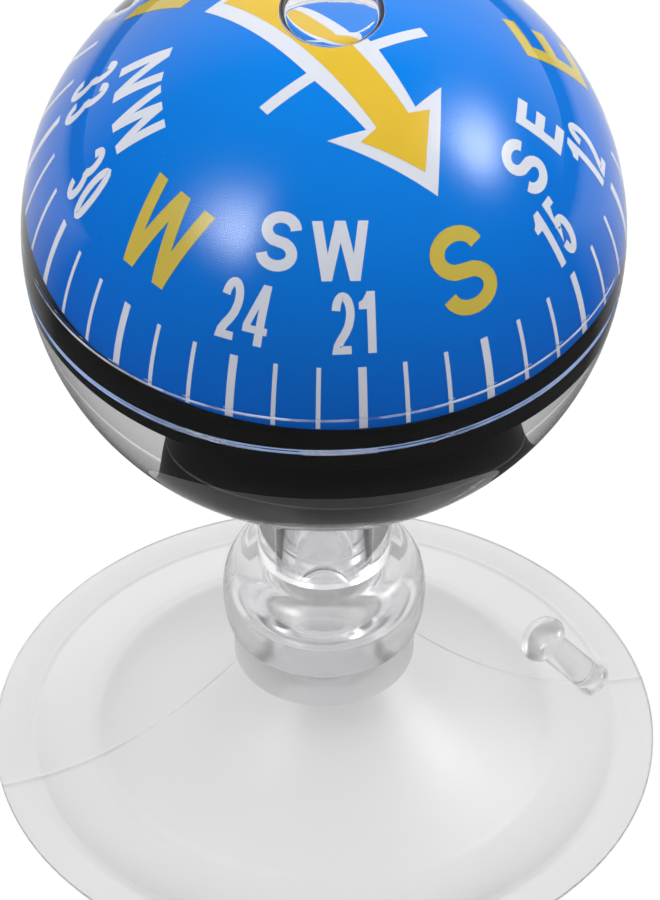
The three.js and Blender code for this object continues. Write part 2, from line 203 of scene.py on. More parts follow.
class CompassFinishes(PropertyGroup):
    """Colours of the finishes, as sRGB hex"""

    paint: hex_colour("Paint", "Paint of the dial, at its top", "#0077D6")
    # The low paint is painted shade: the dial's colour where less light falls on it.
    paint_low: hex_colour("Low Paint", "Paint of the dial, at its edge", "#005FC2")
    white_ink: hex_colour("White Ink", "White print", "#CDD1DB")
    letter_ink: hex_colour("Letter Ink", "Yellow of N, E, S and W", "#C0AB48")
    arrow_ink: hex_colour("Arrow Ink", "Yellow of the arrow", "#D2AF34")
    black: hex_colour("Black Plastic", "Moulded parts of the float", "#111111")
    vinyl: hex_colour("Clear Vinyl", "Tint of the suction cup's skirt", "#E6E6E7")
    hub_vinyl: hex_colour("Hub Vinyl", "Tint of the hub and the knob", "#F4F4F5")
    acrylic: hex_colour("Clear Acrylic", "Tint of the ball", "#FBFBFC")


class CompassStudio(PropertyGroup):
    """Camera, floor and light"""

    distance: length("Camera Distance", "From the middle of the ball to the camera", 600.0)
    elevation: angle("Camera Elevation", "Angle of the camera over the ball", 40.57)
    focal: length("Focal Length", "In pixels of a picture 660 pixels wide", 9093.9)
    ball_column: share("Ball Column", "Pixel column of the middle of the ball", 322.0)
    ball_row: share("Ball Row", "Pixel row of the middle of the ball", 228.8)
    ambient: share("Ambient", "Strength of the even light from all sides", 0.72)
    overhead: share("Overhead", "How much stronger that light is from above", 0.3)
    backdrop: share("Backdrop", "How much stronger that light is from the back", 0.95)
    mirrored: share("Mirrored Share", "Brightness of the room in front, in a mirror", 0.06)
    twice: share("Mirrored Through Glass", "Brightness mirrored, then through glass", 0.7)
    horizon: share("Horizon", "Brightness of the room over the floor, through glass", 0.6)
    left_lamp: share("Left Lamp", "Strength of the soft lamp on the left", 9.0)
    right_lamp: share("Right Lamp", "Strength of the soft lamp on the right", 11.0)


class CompassSettings(PropertyGroup):
    """All settings of the compass"""

    ball: PointerProperty(type=CompassBallSizes)
    dial: PointerProperty(type=CompassDialSizes)
    float: PointerProperty(type=CompassFloatSizes)
    cup: PointerProperty(type=CompassCupSizes)
    finish: PointerProperty(type=CompassFinishes)
    studio: PointerProperty(type=CompassStudio)


# Outlines and meshes


def arc(radius, start, end, steps, centre=(0.0, 0.0)):
    """Points of an ellipse from one angle to another, in degrees."""
    across, up = radius if isinstance(radius, tuple) else (radius, radius)
    points = []
    for i in range(steps + 1):
        a = math.radians(start + (end - start) * i / steps)
        points.append((centre[0] + across * math.cos(a), centre[1] + up * math.sin(a)))
    return points


def sphere_arc(radius, start, end, steps, centre=0.0):
    """Points of a sphere's outline from one height to another, as seen from its centre."""
    degrees = [math.degrees(math.asin(max(-1, min(1, z / radius)))) for z in (start, end)]
    return arc(radius, *degrees, steps, (0.0, centre))


def mesh_object(name, points, faces, skins=None, smooth=35.0):
    """An object from points in millimetres and faces, with a material number for each."""
    mesh = bpy.data.meshes.new(name)
    mesh.from_pydata([Vector(p) * MM for p in points], [], faces)
    mesh.validate()
    if skins is not None:
        mesh.polygons.foreach_set("material_index", skins)
    mesh.update()
    mesh.shade_smooth()
    mesh.set_sharp_from_angle(angle=math.radians(smooth))
    obj = bpy.data.objects.new(name, mesh)
    bpy.context.scene.collection.objects.link(obj)
    return obj


def lathe(
    name, outline, segments, centre=(0, 0, 0), skins=None, ring=False, angles=None, shape=None
):
    """A closed revolved body. The outline starts and ends on the axis, or closes as a ring.
    skins numbers the material of each stretch of it, angles gives the columns in place of
    their count, and shape may move each point."""
    turns = angles or [2 * math.pi * i / segments for i in range(segments)]
    count = len(turns)
    points, rows = [], []
    for radius, height in outline:
        if radius < 1e-6:
            rows.append([len(points)] * count)
            points.append((centre[0], centre[1], centre[2] + height))
            continue
        rows.append(list(range(len(points), len(points) + count)))
        for a in turns:
            point = (radius * math.cos(a), radius * math.sin(a), height)
            if shape:
                point = shape(*point)
            points.append(tuple(point[i] + centre[i] for i in range(3)))
    faces, numbers = [], []
    stretches = len(rows) if ring else len(rows) - 1
    for k in range(stretches):
        low, high = rows[k], rows[(k + 1) % len(rows)]
        for i in range(count):
            j = (i + 1) % count
            corners = [low[i], low[j], high[j], high[i]]
            face = [c for n, c in enumerate(corners) if c != corners[n - 1]]
            if len(face) >= 3:
                faces.append(face)
                numbers.append(skins[k] if skins else 0)
    obj = mesh_object(name, points, faces, numbers)
    return outward(obj)


def turned_over(obj):
    """Turns every face round."""
    form = bmesh.new()
    form.from_mesh(obj.data)
    bmesh.ops.reverse_faces(form, faces=form.faces)
    form.to_mesh(obj.data)
    form.free()
    return obj


def outward(obj):
    """Turns the faces so that they look out of the body."""
    form = bmesh.new()
    form.from_mesh(obj.data)
    volume = form.calc_volume(signed=True)
    form.free()
    return turned_over(obj) if volume < 0 else obj


# Print on the dial


def strip(points, width, closed=False):
    """The faces of a line of even width through flat points, with mitred corners."""
    count = len(points)
    least_lean = 0.3
    edges = []
    for i in range(count):
        here = Vector(points[i])
        before = Vector(points[i - 1]) if closed or i > 0 else None
        after = Vector(points[(i + 1) % count]) if closed or i < count - 1 else None
        ways = [(here - before).normalized() if before is not None else None]
        ways.append((after - here).normalized() if after is not None else None)
        ways = [w for w in ways if w is not None]
        along = sum(ways, Vector((0, 0))).normalized()
        side = Vector((-along.y, along.x))
        lean = max(side.dot(Vector((-ways[0].y, ways[0].x))), least_lean)
        edges.append((here + side * width / 2 / lean, here - side * width / 2 / lean))
    faces = []
    for i in range(count if closed else count - 1):
        (a, b), (c, d) = edges[i], edges[(i + 1) % count]
        faces.append([tuple(a), tuple(b), tuple(d), tuple(c)])
    return faces


def round_line(centre, radius, start, end, steps=14):
    """A curved stretch of a letter."""
    return arc(radius, start, end, steps, centre)


# Letters and numbers with flat-cut corners: faces from a width, a height and a line width


def one_faces(w, h, stroke):
    """A 1: its bar, and its flag on the left."""
    left, low, high = w - stroke, 0.72 * h, 0.98 * h
    bar = [
        [(left, a), (w, a), (w, b), (left, b)] for a, b in ((0, low), (low, high), (high, h))
    ]
    flag = [(0, low), (left, low), (left, high), (left / 2, 0.87 * h), (0, 0.83 * h)]
    return bar + [flag]


def four_faces(w, h, stroke):
    """A 4: its bar, its foot and its slope."""
    foot, left = 0.2 * h, w * 0.86 - stroke
    top, right = foot + stroke * 0.9, left + stroke
    slope = (h - top) / left
    across = 0.85 * stroke * math.sqrt(1 + 1 / slope**2)
    down = h - across * slope
    levels = [0, foot, top, down, h]
    bar = [[(left, a), (right, a), (right, b), (left, b)] for a, b in zip(levels, levels[1:])]
    pieces = ((0, across), (across, left), (right, w))
    bar += [[(a, foot), (b, foot), (b, top), (a, top)] for a, b in pieces]
    return bar + [[(0, top), (across, top), (left, down), (left, h)]]


def n_faces(w, h, stroke):
    """An N, with a slope a little wider than its bars."""
    wide = stroke * 1.1
    low = h * (1 - stroke / (w - wide))
    high = h - low
    outline = [(0, 0), (stroke, 0), (stroke, low), (w - wide, 0), (w, 0)]
    return [outline + [(w, h), (w - stroke, h), (w - stroke, high), (wide, h), (0, h)]]


def w_faces(w, h, stroke):
    """A W of four slopes."""
    wide = stroke * 0.92
    foot = 0.245 * w - wide / 2

    def crossing(a, b, c, d):
        """Where the line from the foot at a to the top at b meets the one from c to d."""
        t = (c - a) / ((b - a) - (d - c))
        return (a + (b - a) * t, h * t)

    middle = w / 2
    left = crossing(foot + wide, wide, foot, middle - wide / 2)
    below = crossing(foot + wide, middle + wide / 2, w - foot - wide, middle - wide / 2)
    outline = [(0, h), (foot, 0), (foot + wide, 0), below, (w - foot - wide, 0), (w - foot, 0)]
    outline += [(w, h), (w - wide, h), (w - left[0], left[1])]
    return [outline + [(middle + wide / 2, h), (middle - wide / 2, h), left, (wide, h)]]


# Each letter or number: its width by its height, and its centre lines in a box of one by one,
# or the function that cuts it
GLYPHS = {
    "0": (0.36, [("loop", round_line((0.5, 0.5), (0.5, 0.5), 0, 342, 19))]),
    "1": (0.26, [("cut", one_faces)]),
    "2": (
        0.36,
        [
            (
                "line",
                round_line((0.5, 0.7), (0.5, 0.3), 172, -22)
                + [(0.84, 0.45), (0.6, 0.32), (0.3, 0.2), (0.06, 0.08), (0.0, 0.0), (1.0, 0.0)],
            )
        ],
    ),
    "3": (
        0.36,
        [
            ("line", round_line((0.48, 0.76), (0.46, 0.24), 160, -80)),
            ("line", round_line((0.48, 0.26), (0.52, 0.26), 100, -165)),
        ],
    ),
    "4": (0.4, [("cut", four_faces)]),
    "5": (
        0.36,
        [
            (
                "line",
                [(0.92, 1.0), (0.17, 1.0), (0.06, 0.5)]
                + round_line((0.48, 0.32), (0.52, 0.32), 138, -160),
            )
        ],
    ),
    "6": (
        0.36,
        [
            ("loop", round_line((0.5, 0.3), (0.5, 0.3), 0, 342, 19)),
            ("line", round_line((0.5, 0.6), (0.5, 0.4), 28, 180) + [(0.0, 0.3)]),
        ],
    ),
    "N": (0.72, [("cut", n_faces)]),
    "E": (
        0.63,
        [
            ("line", [(1.0, 1.0), (0.0, 1.0), (0.0, 0.0), (1.0, 0.0)]),
            ("line", [(0.0, 0.53), (0.92, 0.53)]),
        ],
    ),
    "S": (
        0.7,
        [
            (
                "line",
                round_line((0.5, 0.745), (0.48, 0.255), 8, 245)
                + round_line((0.5, 0.25), (0.5, 0.25), 65, -172),
            )
        ],
    ),
    "W": (0.93, [("cut", w_faces)]),
}

# Where each letter stands on the dial: its heading and its latitude
QUARTERS = (("N", 1.4, 33.6), ("E", 90, 33.8), ("S", 180.2, 34.3), ("W", 269.2, 35.8))
BETWEEN = (
    ("N", 54, 44),
    ("E", 36, 44),
    ("S", 143.5, 43.5),
    ("E", 125, 43.1),
    ("S", 233.9, 45.1),
    ("W", 214.7, 44.3),
    ("N", 324.4, 44.6),
    ("W", 305.2, 44.7),
)
# The numbers and their headings, and the space between two digits, wider after some ones
NUMBERS = {3: 30, 6: 60, 12: 120.7, 15: 149, 21: 211.6, 24: 239.3, 30: 300.9, 33: 329.7}
DIGIT_SPACE = 0.26
WIDE_SPACE = {15: 0.4}


def glyph_faces(letter, height, stroke, left):
    """The flat faces of one letter, with its left edge at left and its middle at height zero,
    and its width."""
    proportion, lines = GLYPHS[letter]
    width = proportion * height
    across, up = width - stroke, height - stroke
    faces = []
    for kind, line in lines:
        if kind == "cut":
            cut = line(width, height, stroke)
            faces += [[(left + x, y - height / 2) for x, y in face] for face in cut]
            continue
        placed = [(left + stroke / 2 + x * across, -up / 2 + y * up) for x, y in line]
        faces += strip(placed, stroke, kind == "loop")
    return faces, width


def word_faces(word, height, stroke, spacing):
    """The flat faces of a word, centred on zero."""
    faces, left = [], 0.0
    for letter in word:
        drawn, width = glyph_faces(letter, height, stroke, left)
        faces += drawn
        left += width + spacing
    middle = (left - spacing) / 2
    return [[(x - middle, y) for x, y in face] for face in faces]


def dial_map(dial, heading, latitude):
    """How flat print lands on the dial: a function from (right, up, lift) to its point."""
    turn = math.radians(90) + dial.north - math.radians(heading)
    level = math.cos(latitude)
    out = Vector((level * math.cos(turn), level * math.sin(turn), math.sin(latitude)))
    right = Vector((-math.sin(turn), math.cos(turn), 0))
    up = out.cross(right)

    def place(x, y, lift):
        """The point of the dial as far from the middle of the print as the flat one."""
        far = math.hypot(x, y)
        bend = far / DIAL_RADIUS
        way = (right * x + up * y) / far if far > 1e-9 else right
        spot = out * math.cos(bend) + way * math.sin(bend)
        return DIAL_CENTRE + spot * (DIAL_RADIUS + lift)

    return place


def cut_to_grid(form, step):
    """Cuts flat faces along a grid, so that they can follow the dial."""
    for axis in (0, 1):
        values = [v.co[axis] for v in form.verts]
        line = math.ceil(min(values) / step) * step
        while line < max(values):
            spot = Vector((line, 0, 0)) if axis == 0 else Vector((0, line, 0))
            normal = Vector((1, 0, 0)) if axis == 0 else Vector((0, 1, 0))
            everything = form.verts[:] + form.edges[:] + form.faces[:]
            bmesh.ops.bisect_plane(
                form, geom=everything, dist=1e-6, plane_co=spot, plane_no=normal
            )
            line += step


def ink_relief(faces, place, low, high, step=0.9):
    """Points and faces of a thin closed layer of ink laid on the dial."""
    form = bmesh.new()
    for face in faces:
        form.faces.new([form.verts.new((x, y, 0)) for x, y in face])
    bmesh.ops.remove_doubles(form, verts=form.verts, dist=1e-4)
    bmesh.ops.dissolve_degenerate(form, edges=form.edges, dist=1e-4)
    cut_to_grid(form, step)
    bmesh.ops.recalc_face_normals(form, faces=form.faces)
    form.verts.ensure_lookup_table()
    form.verts.index_update()
    count = len(form.verts)
    points = [place(v.co.x, v.co.y, lift) for lift in (high, low) for v in form.verts]
    solid = []
    for face in form.faces:
        loop = [v.index for v in face.verts]
        if face.normal.z < 0:
            loop.reverse()
        solid += [loop, [i + count for i in reversed(loop)]]
    for edge in form.edges:
        if len(edge.link_faces) == 1:
            loop = edge.link_loops[0]
            a, b = loop.vert.index, loop.link_loop_next.vert.index
            if edge.link_faces[0].normal.z < 0:
                a, b = b, a
            solid.append([b, a, a + count, b + count])
    form.free()
    return points, solid


def ink_object(name, layers, height):
    """One object from several (faces, place) layers of ink that stand over the paint."""
    points, faces = [], []
    for flat, place in layers:
        more, solid = ink_relief(flat, place, -INK_ROOT, height)
        faces += [[i + len(points) for i in face] for face in solid]
        points += more
    return mesh_object(name, points, faces, smooth=30.0)


# Materials


def linear(code):
    """An sRGB hex colour as linear RGBA."""
    values = [int(code[i : i + 2], 16) / 255 for i in (1, 3, 5)]
    plain = [v / 12.92 if v <= 0.04045 else ((v + 0.055) / 1.055) ** 2.4 for v in values]
    return (*plain, 1.0)


def shade(colour, factor):
    """A linear colour made darker or lighter."""
    return (*[min(v * factor, 1.0) for v in colour[:3]], 1.0)


def add(tree, kind, inputs=None, **options):
    """Adds a shader node with its options. Each input takes a plain value or a socket."""
    node = tree.nodes.new("ShaderNode" + kind)
    for key, value in options.items():
        setattr(node, key, value)
    for key, value in (inputs or {}).items():
        if isinstance(value, bpy.types.NodeSocket):
            tree.links.new(value, node.inputs[key])
        else:
            node.inputs[key].default_value = value
    return node


def new_material(name):
    """An empty material and its node tree."""
    material = bpy.data.materials.new(name)
    material.use_nodes = True
    material.node_tree.nodes.clear()
    return material, material.node_tree


def mottled(tree, colour, size_mm, amount):
    """A colour that varies a little over patches of a size, and the noise behind it."""
    place = add(tree, "TexCoord").outputs["Object"]
    patches = {"Vector": place, "Scale": 1 / (size_mm * MM), "Detail": 3.0, "Roughness": 0.55}
    noise = add(tree, "TexNoise", patches).outputs["Fac"]
    ends = {"Factor": noise, "A": shade(colour, 1 - amount), "B": shade(colour, 1 + amount)}
    return add(tree, "Mix", ends, data_type="RGBA").outputs["Result"], noise


def opaque(name, code, roughness, patches, grain, foot=None, **more):
    """A moulded, painted or turned surface: patches in its colour, of a size and an amount,
    and a fine grain, of a size and a depth. foot gives a second, darker colour of painted
    shade, the height it starts from and the height it has gone at."""
    material, tree = new_material(name)
    size_mm, amount = patches
    grain_mm, depth_mm = grain
    colour, _ = mottled(tree, linear(code), size_mm, amount)
    # Painted shade: the second colour darkens the surface below a height, where less light falls.
    if foot:
        shaded_code, start, end = foot
        below, _ = mottled(tree, linear(shaded_code), size_mm, amount)
        place = add(tree, "TexCoord").outputs["Object"]
        height = add(tree, "SeparateXYZ", {0: place}).outputs["Z"]
        span = {"Value": height, "From Min": start * MM, "From Max": end * MM}
        unshaded_share = add(tree, "MapRange", span).outputs["Result"]
        ends = {"Factor": unshaded_share, "A": below, "B": colour}
        colour = add(tree, "Mix", ends, data_type="RGBA").outputs["Result"]
    _, fine = mottled(tree, linear(code), grain_mm, amount)
    relief = {"Height": fine, "Distance": depth_mm * MM, "Strength": 0.4}
    normal = add(tree, "Bump", relief).outputs["Normal"]
    look = {"Base Color": colour, "Normal": normal, "Roughness": roughness, **more}
    shader = add(tree, "BsdfPrincipled", look).outputs["BSDF"]
    add(tree, "OutputMaterial", {"Surface": shader})
    return material


def clear(name, code, ior, roughness, waves, through="#FFFFFF", haze=0.0):
    """A clear moulding with waves of a length and a depth. Light for other surfaces passes
    straight through it, in its own tint. haze is the share of light that each face scatters."""
    material, tree = new_material(name)
    wave_mm, depth_mm = waves
    tint, wave = mottled(tree, linear(code), wave_mm, 0.01)
    relief = {"Height": wave, "Distance": depth_mm * MM, "Strength": 0.5}
    normal = add(tree, "Bump", relief).outputs["Normal"]
    look = {"Base Color": tint, "Normal": normal, "Roughness": roughness, "IOR": ior}
    look["Transmission Weight"] = 1.0 - haze
    shader = add(tree, "BsdfPrincipled", look).outputs["BSDF"]
    ray = add(tree, "LightPath").outputs
    kinds = {0: ray["Is Shadow Ray"], 1: ray["Is Diffuse Ray"]}
    passes = add(tree, "Math", kinds, operation="MAXIMUM").outputs[0]
    straight = add(tree, "BsdfTransparent", {"Color": linear(through)}).outputs["BSDF"]
    final = add(tree, "MixShader", {0: passes, 1: shader, 2: straight}).outputs[0]
    add(tree, "OutputMaterial", {"Surface": final})
    return material


def cemented(name):
    """Two faces of one material bonded to each other: light goes straight through."""
    material, tree = new_material(name)
    tint, _ = mottled(tree, linear("#FCFCFD"), 3.0, 0.01)
    straight = add(tree, "BsdfTransparent", {"Color": tint}).outputs["BSDF"]
    add(tree, "OutputMaterial", {"Surface": straight})
    return material


def milky(name, code, patch_mm, thin, thick):
    """A fine white bead whose share of white wanders from thin to thick over the patches."""
    material, tree = new_material(name)
    colour, patches = mottled(tree, linear(code), patch_mm, 0.05)
    look = {"Base Color": colour, "Roughness": 0.5, "IOR": WETTED}
    white = add(tree, "BsdfPrincipled", look).outputs["BSDF"]
    gone = add(tree, "BsdfTransparent", {"Color": WHITE}).outputs["BSDF"]
    span = {"From Min": 0.4, "From Max": 0.58, "To Min": thin, "To Max": thick}
    part = add(tree, "MapRange", {"Value": patches, **span}).outputs["Result"]
    final = add(tree, "MixShader", {0: part, 1: gone, 2: white}).outputs[0]
    add(tree, "OutputMaterial", {"Surface": final})
    return material


def dress(obj, *materials):
    """Gives a new object its materials."""
    for material in materials:
        obj.data.materials.append(material)
    return obj


def dress_node(node, material):
    """Gives a piece of the frame its material."""
    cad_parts[node].data.materials.clear()
    dress(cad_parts[node], material)


def settings():
    """The sizes and colours in use."""
    return bpy.context.scene.compass


# Operators


class COMPASS_OT_stage(Operator):
    """Sets up the camera, the floor and the light"""

    bl_idname = "compass.stage"
    bl_label = "Stage"

    def execute(self, context):
        studio = settings().studio
        self.camera(context, studio)
        self.floor(studio)
        self.world(context, studio)
        context.scene.view_settings.view_transform = "Standard"
        return {"FINISHED"}

    def camera(self, context, studio):
        """The camera, placed by where the middle of the ball shows in a picture 660 by 900."""
        width, height = 660.0, 900.0
        data = bpy.data.cameras.new("camera")
        data.sensor_fit = "HORIZONTAL"
        data.sensor_width = 36.0
        data.lens = studio.focal * data.sensor_width / width
        data.clip_end = 20.0
        camera = bpy.data.objects.new("camera", data)
        context.scene.collection.objects.link(camera)
        e = studio.elevation
        back = Vector((0, -math.cos(e), math.sin(e)))
        camera.location = (Vector((0, 0, BALL_HEIGHT)) + back * studio.distance) * MM
        drop = math.atan((height / 2 - studio.ball_row) / studio.focal)
        swing = math.atan((width / 2 - studio.ball_column) / studio.focal)
        camera.rotation_euler = (math.radians(90) - e - drop, 0, -swing)
        context.scene.camera = camera

    def floor(self, studio):
        """A plain pale board. Seen by the camera, mirrored or through glass it stays white,
        and keeps a share of the object's soft shadow."""
        material, tree = new_material("white_painted_board")
        colour, _ = mottled(tree, linear("#B9B9B9"), 40.0, 0.01)
        board = add(tree, "BsdfDiffuse", {"Color": colour}).outputs["BSDF"]
        seen, mirrored, twice = seen_rays(tree)
        place = add(tree, "TexCoord").outputs["Object"]
        away = add(tree, "VectorMath", {0: place}, operation="LENGTH").outputs["Value"]
        # Through the ball it shows far behind, dimmer there: painted shade.
        white, grey, white_share, dark = 1.18, 0.6, 0.72, studio.mirrored
        span = {"From Min": 45 * MM, "From Max": 110 * MM, "To Min": white, "To Max": grey}
        shaded_far = add(tree, "MapRange", {"Value": away, **span}).outputs["Result"]
        glass = add(tree, "LightPath").outputs["Is Transmission Ray"]
        bright = add(tree, "Mix", {"Factor": glass, "A": white, "B": shaded_far}).outputs["Result"]
        glow = add(tree, "Emission", {"Color": WHITE, "Strength": bright}).outputs[0]
        part = add(tree, "Math", {0: seen, 1: white_share}, operation="MULTIPLY").outputs[0]
        look = add(tree, "MixShader", {0: part, 1: board, 2: glow}).outputs[0]
        # In a mirror the board is dark in front of the compass, where no light falls on it,
        # white behind, and dark again where it ends.
        back = add(tree, "SeparateXYZ", {0: place}).outputs["Y"]
        span = {"From Min": 20 * MM, "From Max": 65 * MM, "To Min": dark, "To Max": 0.8}
        lit = add(tree, "MapRange", {"Value": back, **span}).outputs["Result"]
        span = {"From Min": 230 * MM, "From Max": 430 * MM, "To Min": 0.9, "To Max": dark}
        ends = add(tree, "MapRange", {"Value": away, **span}).outputs["Result"]
        dim = add(tree, "Math", {0: lit, 1: ends}, operation="MINIMUM").outputs[0]
        glow = add(tree, "Emission", {"Color": WHITE, "Strength": dim}).outputs[0]
        look = add(tree, "MixShader", {0: mirrored, 1: look, 2: glow}).outputs[0]
        # Right under the ball it lies in the ball's shadow.
        span = {"From Min": 14 * MM, "From Max": 45 * MM, "To Min": dark, "To Max": studio.twice}
        dusk = add(tree, "MapRange", {"Value": away, **span}).outputs["Result"]
        glow = add(tree, "Emission", {"Color": WHITE, "Strength": dusk}).outputs[0]
        look = add(tree, "MixShader", {0: twice, 1: look, 2: glow}).outputs[0]
        add(tree, "OutputMaterial", {"Surface": look})
        side, below = 3000.0, -0.02
        corners = [(x * side, y * side, below) for x, y in ((-1, -1), (1, -1), (1, 1), (-1, 1))]
        floor = mesh_object("floor", corners, [[0, 1, 2, 3]])
        dress(floor, material)

    def world(self, context, studio):
        """The light from all sides, and what mirrors and glass show of the room."""
        world = bpy.data.worlds.new("studio")
        context.scene.world = world
        world.use_nodes = True
        tree = world.node_tree
        tree.nodes.clear()
        way = add(tree, "TexCoord").outputs["Generated"]
        # The even light is strongest from above and behind, where the backdrop is.
        slope = {0: way, 1: (0, studio.backdrop, studio.overhead)}
        even = add(tree, "VectorMath", slope, operation="DOT_PRODUCT").outputs["Value"]
        even = add(tree, "Math", {0: even, 1: studio.ambient}, operation="ADD").outputs[0]
        even = add(tree, "Math", {0: even, 1: 0.0}, operation="MAXIMUM").outputs[0]
        # Mirrored, the room is dark but for the backdrop. Through glass a dark band lies
        # between the floor and the light from above.
        split = add(tree, "SeparateXYZ", {0: way}).outputs
        span = {"From Min": 0.3, "From Max": 0.75, "To Min": studio.mirrored, "To Max": 0.9}
        dim = add(tree, "MapRange", {"Value": split["Y"], **span}).outputs["Result"]
        span = {"From Min": 0.0, "From Max": 0.025, "To Min": 1.0, "To Max": studio.horizon}
        band = add(tree, "MapRange", {"Value": split["Z"], **span}).outputs["Result"]
        span = {"From Min": 0.25, "From Max": 0.45, "To Min": 0.0, "To Max": 1.0}
        above = add(tree, "MapRange", {"Value": split["Z"], **span}).outputs["Result"]
        room = add(tree, "Math", {0: band, 1: above}, operation="MAXIMUM").outputs[0]
        seen, mirrored, twice = seen_rays(tree)
        straight = add(tree, "LightPath").outputs["Is Camera Ray"]
        room = add(tree, "Mix", {"Factor": straight, "A": room, "B": 1.0}).outputs["Result"]
        ends = {"Factor": above, "A": studio.horizon, "B": room}
        under = add(tree, "Mix", ends).outputs["Result"]
        for share_shown, look in ((seen, room), (mirrored, dim), (twice, under)):
            ends = {"Factor": share_shown, "A": even, "B": look}
            even = add(tree, "Mix", ends).outputs["Result"]
        # Each soft lamp: where it stands, and how far it reaches left, right, down and up,
        # in degrees. The camera doesn't see them.
        left = ((-0.532, -0.656, 0.535), (11.0, 5.4, 7.0, 9.6), studio.left_lamp)
        right = ((0.831, 0.008, 0.557), (6.9, 9.9, 6.6, 8.8), studio.right_lamp)
        both = {0: self.lamp(tree, way, *left), 1: self.lamp(tree, way, *right)}
        lamps = add(tree, "Math", both, operation="ADD").outputs[0]
        hidden = add(tree, "Math", {0: 1.0, 1: straight}, operation="SUBTRACT").outputs[0]
        shown = add(tree, "Math", {0: lamps, 1: hidden}, operation="MULTIPLY").outputs[0]
        total = add(tree, "Math", {0: even, 1: shown}, operation="ADD").outputs[0]
        sky = add(tree, "Background", {"Color": WHITE, "Strength": total}).outputs[0]
        add(tree, "OutputWorld", {"Surface": sky})

    def lamp(self, tree, way, middle, reach, strength):
        """A soft glow in the world, brightest in its middle and fading to each side."""
        middle = Vector(middle).normalized()
        across = Vector((0, 0, 1)).cross(middle).normalized()
        upward = middle.cross(across)
        squares = {}
        for axis, before, after in ((across, *reach[:2]), (upward, *reach[2:])):
            sides = {}
            for side, degrees in ((-axis, before), (axis, after)):
                scaled = side / (math.sin(math.radians(degrees)) * math.sqrt(2))
                part = add(tree, "VectorMath", {0: way, 1: scaled}, operation="DOT_PRODUCT")
                sides[len(sides)] = part.outputs["Value"]
            far = add(tree, "Math", sides, operation="MAXIMUM").outputs[0]
            square = add(tree, "Math", {0: far, 1: 2.0}, operation="POWER").outputs[0]
            squares[len(squares)] = square
        far = add(tree, "Math", squares, operation="ADD").outputs[0]
        inward = add(tree, "Math", {0: far, 1: -1.0}, operation="MULTIPLY").outputs[0]
        soft = add(tree, "Math", {0: inward}, operation="EXPONENT").outputs[0]
        part = add(tree, "VectorMath", {0: way, 1: middle}, operation="DOT_PRODUCT")
        ahead = {0: part.outputs["Value"], 1: 0.0}
        front = add(tree, "Math", ahead, operation="GREATER_THAN").outputs[0]
        lit = add(tree, "Math", {0: soft, 1: front}, operation="MULTIPLY").outputs[0]
        return add(tree, "Math", {0: lit, 1: strength}, operation="MULTIPLY").outputs[0]


def seen_rays(tree):
    """Three shares: one for rays that show the surroundings straight or through glass, one for
    mirrored rays, and one for rays that were mirrored first and then went through glass."""
    ray = add(tree, "LightPath").outputs
    glass = ray["Is Transmission Ray"]
    seen = add(tree, "Math", {0: ray["Is Camera Ray"], 1: glass}, operation="MAXIMUM").outputs[0]
    rest = {0: ray["Is Glossy Ray"], 1: seen}
    mirrored = add(tree, "Math", rest, operation="SUBTRACT", use_clamp=True).outputs[0]
    both = {0: ray["Glossy Depth"], 1: glass}
    twice = add(tree, "Math", both, operation="MULTIPLY", use_clamp=True).outputs[0]
    # Light that crossed several clear walls, as in the neck and the hub, comes from everywhere.
    walls = {0: ray["Transmission Depth"], 1: 2.5}
    few = add(tree, "Math", walls, operation="LESS_THAN").outputs[0]
    twice = add(tree, "Math", {0: twice, 1: few}, operation="MULTIPLY").outputs[0]
    return seen, mirrored, twice


